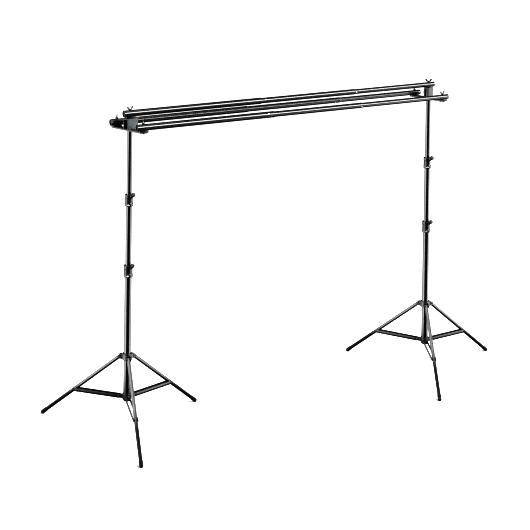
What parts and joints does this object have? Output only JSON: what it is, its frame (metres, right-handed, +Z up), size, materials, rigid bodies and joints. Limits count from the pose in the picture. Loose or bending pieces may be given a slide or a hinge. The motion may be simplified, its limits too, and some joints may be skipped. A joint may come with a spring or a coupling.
{
  "type": "background support system",
  "caption": "Two folding tripod light stands with telescopic columns, joined by three parallel telescopic crossbars on three-way end brackets.",
  "frame": {"origin": "on the floor, under the middle of the whole object's box", "axes": "+X from the left stand to the right stand along the crossbars, +Y to the back, +Z up"},
  "size_m": [2.571, 0.8254, 1.5925],
  "materials": {
    "tube_black": "gloss black coated tube",
    "clamp_black": "satin moulded nylon",
    "knob_black": "semi-gloss moulded",
    "strap_black": "black enamelled steel strap",
    "foot_rubber": "matte rubber",
    "block_grey": "satin dark grey paint",
    "arm_black": "satin black paint",
    "nut_steel": "dark zinc"
  },
  "bodies": {
    "left_base": {"left_base_tube": "tube_black", "left_lower_clamp": "clamp_black", "left_brace_hub": "clamp_black"},
    "left_middle": {"left_middle_tube": "tube_black", "left_upper_clamp": "clamp_black"},
    "left_head": {"left_top_tube": "tube_black", "left_bracket_block": "block_grey", "left_bracket_arm": "arm_black", "top_bar_left_section": "tube_black", "rear_bar_left_section": "tube_black", "front_bar_left_section": "tube_black"},
    "right_base": {"right_base_tube": "tube_black", "right_lower_clamp": "clamp_black", "right_brace_hub": "clamp_black"},
    "right_middle": {"right_middle_tube": "tube_black", "right_upper_clamp": "clamp_black"},
    "right_head": {"right_top_tube": "tube_black", "right_bracket_block": "block_grey", "right_bracket_arm": "arm_black", "top_bar_right_section": "tube_black", "rear_bar_right_section": "tube_black", "front_bar_right_section": "tube_black"},
    "top_bar_middle": {"top_bar_middle_section": "tube_black"},
    "rear_bar_middle": {"rear_bar_middle_section": "tube_black"},
    "front_bar_middle": {"front_bar_middle_section": "tube_black"},
    "left_leg_collar": {"left_leg_collar": "clamp_black"},
    "left_inner_leg": {"left_inner_leg": "tube_black", "left_inner_foot": "foot_rubber"},
    "left_inner_brace": {"left_inner_brace": "strap_black"},
    "left_outer_leg": {"left_outer_leg": "tube_black", "left_outer_foot": "foot_rubber"},
    "left_outer_brace": {"left_outer_brace": "strap_black"},
    "left_front_leg": {"left_front_leg": "tube_black", "left_front_foot": "foot_rubber"},
    "left_front_brace": {"left_front_brace": "strap_black"},
    "left_lower_clamp_knob": {"left_lower_clamp_knob": "knob_black"},
    "left_upper_clamp_knob": {"left_upper_clamp_knob": "knob_black"},
    "left_leg_collar_knob": {"left_leg_collar_knob": "knob_black"},
    "left_bracket_lock_knob": {"left_bracket_lock_knob": "knob_black"},
    "left_top_wing_nut": {"left_top_wing_nut": "nut_steel"},
    "left_rear_wing_nut": {"left_rear_wing_nut": "nut_steel"},
    "left_front_wing_nut": {"left_front_wing_nut": "nut_steel"},
    "right_leg_collar": {"right_leg_collar": "clamp_black"},
    "right_inner_leg": {"right_inner_leg": "tube_black", "right_inner_foot": "foot_rubber"},
    "right_inner_brace": {"right_inner_brace": "strap_black"},
    "right_outer_leg": {"right_outer_leg": "tube_black", "right_outer_foot": "foot_rubber"},
    "right_outer_brace": {"right_outer_brace": "strap_black"},
    "right_front_leg": {"right_front_leg": "tube_black", "right_front_foot": "foot_rubber"},
    "right_front_brace": {"right_front_brace": "strap_black"},
    "right_lower_clamp_knob": {"right_lower_clamp_knob": "knob_black"},
    "right_upper_clamp_knob": {"right_upper_clamp_knob": "knob_black"},
    "right_leg_collar_knob": {"right_leg_collar_knob": "knob_black"},
    "right_bracket_lock_knob": {"right_bracket_lock_knob": "knob_black"},
    "right_top_wing_nut": {"right_top_wing_nut": "nut_steel"},
    "right_rear_wing_nut": {"right_rear_wing_nut": "nut_steel"},
    "right_front_wing_nut": {"right_front_wing_nut": "nut_steel"}
  },
  "joints": [
    {"name": "left_middle_height", "type": "slide", "parent": "left_base", "child": "left_middle", "axis": [0, 0, 1], "range_m": [-0.27, 0.21]},
    {"name": "left_top_height", "type": "slide", "parent": "left_middle", "child": "left_head", "axis": [0, 0, 1], "range_m": [-0.28, 0.21]},
    {"name": "crossbar_left_draw", "type": "slide", "parent": "left_head", "child": "top_bar_middle", "axis": [1, 0, 0], "range_m": [-0.48, 0.1]},
    {"name": "rear_bar_left_draw", "type": "slide", "parent": "left_head", "child": "rear_bar_middle", "axis": [1, 0, 0], "range_m": [-0.48, 0.1]},
    {"name": "front_bar_left_draw", "type": "slide", "parent": "left_head", "child": "front_bar_middle", "axis": [1, 0, 0], "range_m": [-0.48, 0.1]},
    {"name": "crossbar_right_draw", "type": "slide", "parent": "top_bar_middle", "child": "right_head", "axis": [1, 0, 0], "range_m": [-0.45, 0.12]},
    {"name": "right_top_height", "type": "slide", "parent": "right_head", "child": "right_middle", "axis": [0, 0, -1], "range_m": [-0.28, 0.21]},
    {"name": "right_middle_height", "type": "slide", "parent": "right_middle", "child": "right_base", "axis": [0, 0, -1], "range_m": [-0.27, 0.21]},
    {"name": "left_leg_fold", "type": "slide", "parent": "left_base", "child": "left_leg_collar", "axis": [0, 0, 1], "range_m": [0, 0.35527]},
    {"name": "left_inner_leg_hinge", "type": "hinge", "parent": "left_leg_collar", "child": "left_inner_leg", "pos_m": [-0.91775, 0.04446, 0.347], "axis": [-0.2639, 0.9646, 0], "range_deg": [0, 47.7]},
    {"name": "left_inner_brace_hinge", "type": "hinge", "parent": "left_base", "child": "left_inner_brace", "pos_m": [-0.91582, 0.04499, 0.148], "axis": [0.2639, -0.9646, 0], "range_deg": [0, 86.58]},
    {"name": "left_outer_leg_hinge", "type": "hinge", "parent": "left_leg_collar", "child": "left_outer_leg", "pos_m": [-0.98141, 0.06117, 0.347], "axis": [-0.7034, -0.7108, 0], "range_deg": [0, 47.7]},
    {"name": "left_outer_brace_hinge", "type": "hinge", "parent": "left_base", "child": "left_outer_brace", "pos_m": [-0.98284, 0.06257, 0.148], "axis": [0.7034, 0.7108, 0], "range_deg": [0, 86.58]},
    {"name": "left_front_leg_hinge", "type": "hinge", "parent": "left_leg_collar", "child": "left_front_leg", "pos_m": [-0.96405, -0.00232, 0.347], "axis": [0.9673, -0.2538, 0], "range_deg": [0, 47.7]},
    {"name": "left_front_brace_hinge", "type": "hinge", "parent": "left_base", "child": "left_front_brace", "pos_m": [-0.96455, -0.00425, 0.148], "axis": [-0.9673, 0.2538, 0], "range_deg": [0, 86.58]},
    {"name": "left_lower_clamp_knob_turn", "type": "hinge", "parent": "left_base", "child": "left_lower_clamp_knob", "pos_m": [-0.9473, 0.01258, 0.80028], "axis": [0.2367, -0.7286, 0.6428], "range_deg": [0, 270]},
    {"name": "left_upper_clamp_knob_turn", "type": "hinge", "parent": "left_middle", "child": "left_upper_clamp_knob", "pos_m": [-0.9473, 0.01258, 1.15228], "axis": [0.2367, -0.7286, 0.6428], "range_deg": [0, 270]},
    {"name": "left_leg_collar_knob_turn", "type": "hinge", "parent": "left_leg_collar", "child": "left_leg_collar_knob", "pos_m": [-0.94679, 0.06346, 0.35], "axis": [0.2538, 0.9673, 0], "range_deg": [0, 270]},
    {"name": "left_bracket_lock_knob_turn", "type": "hinge", "parent": "left_head", "child": "left_bracket_lock_knob", "pos_m": [-0.96132, 0.04997, 1.507], "axis": [-0.4067, 0.9135, 0], "range_deg": [0, 270]},
    {"name": "left_top_wing_nut_turn", "type": "hinge", "parent": "left_head", "child": "left_top_wing_nut", "pos_m": [-0.9544, 0.03444, 1.577], "axis": [0, 0, 1], "continuous": true},
    {"name": "left_rear_wing_nut_turn", "type": "hinge", "parent": "left_head", "child": "left_rear_wing_nut", "pos_m": [-0.9902, 0.11483, 1.521], "axis": [0, 0, 1], "continuous": true},
    {"name": "left_front_wing_nut_turn", "type": "hinge", "parent": "left_head", "child": "left_front_wing_nut", "pos_m": [-0.91861, -0.04595, 1.521], "axis": [0, 0, 1], "continuous": true},
    {"name": "right_leg_fold", "type": "slide", "parent": "right_base", "child": "right_leg_collar", "axis": [0, 0, 1], "range_m": [0, 0.35527]},
    {"name": "right_inner_leg_hinge", "type": "hinge", "parent": "right_leg_collar", "child": "right_inner_leg", "pos_m": [0.86343, 0.03801, 0.347], "axis": [-0.0941, 0.9956, 0], "range_deg": [0, 47.7]},
    {"name": "right_inner_brace_hinge", "type": "hinge", "parent": "right_base", "child": "right_inner_brace", "pos_m": [0.86542, 0.0382, 0.148], "axis": [0.0941, -0.9956, 0], "range_deg": [0, 86.58]},
    {"name": "right_outer_leg_hinge", "type": "hinge", "parent": "right_leg_collar", "child": "right_outer_leg", "pos_m": [0.80358, 0.06541, 0.347], "axis": [-0.8151, -0.5793, 0], "range_deg": [0, 47.7]},
    {"name": "right_outer_brace_hinge", "type": "hinge", "parent": "right_base", "child": "right_outer_brace", "pos_m": [0.80243, 0.06704, 0.148], "axis": [0.8151, 0.5793, 0], "range_deg": [0, 86.58]},
    {"name": "right_front_leg_hinge", "type": "hinge", "parent": "right_leg_collar", "child": "right_front_leg", "pos_m": [0.80978, -0.00011, 0.347], "axis": [0.9092, -0.4163, 0], "range_deg": [0, 47.7]},
    {"name": "right_front_brace_hinge", "type": "hinge", "parent": "right_base", "child": "right_front_brace", "pos_m": [0.80895, -0.00193, 0.148], "axis": [-0.9092, 0.4163, 0], "range_deg": [0, 86.58]},
    {"name": "right_lower_clamp_knob_turn", "type": "hinge", "parent": "right_base", "child": "right_lower_clamp_knob", "pos_m": [0.8327, 0.01258, 0.80028], "axis": [0.2367, -0.7286, 0.6428], "range_deg": [0, 270]},
    {"name": "right_upper_clamp_knob_turn", "type": "hinge", "parent": "right_middle", "child": "right_upper_clamp_knob", "pos_m": [0.8327, 0.01258, 1.15228], "axis": [0.2367, -0.7286, 0.6428], "range_deg": [0, 270]},
    {"name": "right_leg_collar_knob_turn", "type": "hinge", "parent": "right_leg_collar", "child": "right_leg_collar_knob", "pos_m": [0.83808, 0.06171, 0.35], "axis": [0.4163, 0.9092, 0], "range_deg": [0, 270]},
    {"name": "right_bracket_lock_knob_turn", "type": "hinge", "parent": "right_head", "child": "right_bracket_lock_knob", "pos_m": [0.81868, 0.04997, 1.5125], "axis": [-0.4067, 0.9135, 0], "range_deg": [0, 270]},
    {"name": "right_top_wing_nut_turn", "type": "hinge", "parent": "right_head", "child": "right_top_wing_nut", "pos_m": [0.8256, 0.03444, 1.577], "axis": [0, 0, 1], "continuous": true},
    {"name": "right_rear_wing_nut_turn", "type": "hinge", "parent": "right_head", "child": "right_rear_wing_nut", "pos_m": [0.7898, 0.11483, 1.521], "axis": [0, 0, 1], "continuous": true},
    {"name": "right_front_wing_nut_turn", "type": "hinge", "parent": "right_head", "child": "right_front_wing_nut", "pos_m": [0.86139, -0.04595, 1.521], "axis": [0, 0, 1], "continuous": true}
  ],
  "couplings": [
    {"joint": "rear_bar_left_draw", "follows": "crossbar_left_draw", "ratio": 1},
    {"joint": "front_bar_left_draw", "follows": "crossbar_left_draw", "ratio": 1},
    {"joint": "right_top_height", "follows": "left_top_height", "ratio": 1},
    {"joint": "right_middle_height", "follows": "left_middle_height", "ratio": 1},
    {"joint": "left_inner_leg_hinge", "follows": "left_leg_fold", "rad_per_m": 2.3428},
    {"joint": "left_inner_brace_hinge", "follows": "left_leg_fold", "rad_per_m": 4.2527},
    {"joint": "left_outer_leg_hinge", "follows": "left_leg_fold", "rad_per_m": 2.3428},
    {"joint": "left_outer_brace_hinge", "follows": "left_leg_fold", "rad_per_m": 4.2527},
    {"joint": "left_front_leg_hinge", "follows": "left_leg_fold", "rad_per_m": 2.3428},
    {"joint": "left_front_brace_hinge", "follows": "left_leg_fold", "rad_per_m": 4.2527},
    {"joint": "right_inner_leg_hinge", "follows": "right_leg_fold", "rad_per_m": 2.3428},
    {"joint": "right_inner_brace_hinge", "follows": "right_leg_fold", "rad_per_m": 4.2527},
    {"joint": "right_outer_leg_hinge", "follows": "right_leg_fold", "rad_per_m": 2.3428},
    {"joint": "right_outer_brace_hinge", "follows": "right_leg_fold", "rad_per_m": 4.2527},
    {"joint": "right_front_leg_hinge", "follows": "right_leg_fold", "rad_per_m": 2.3428},
    {"joint": "right_front_brace_hinge", "follows": "right_leg_fold", "rad_per_m": 4.2527}
  ]
}
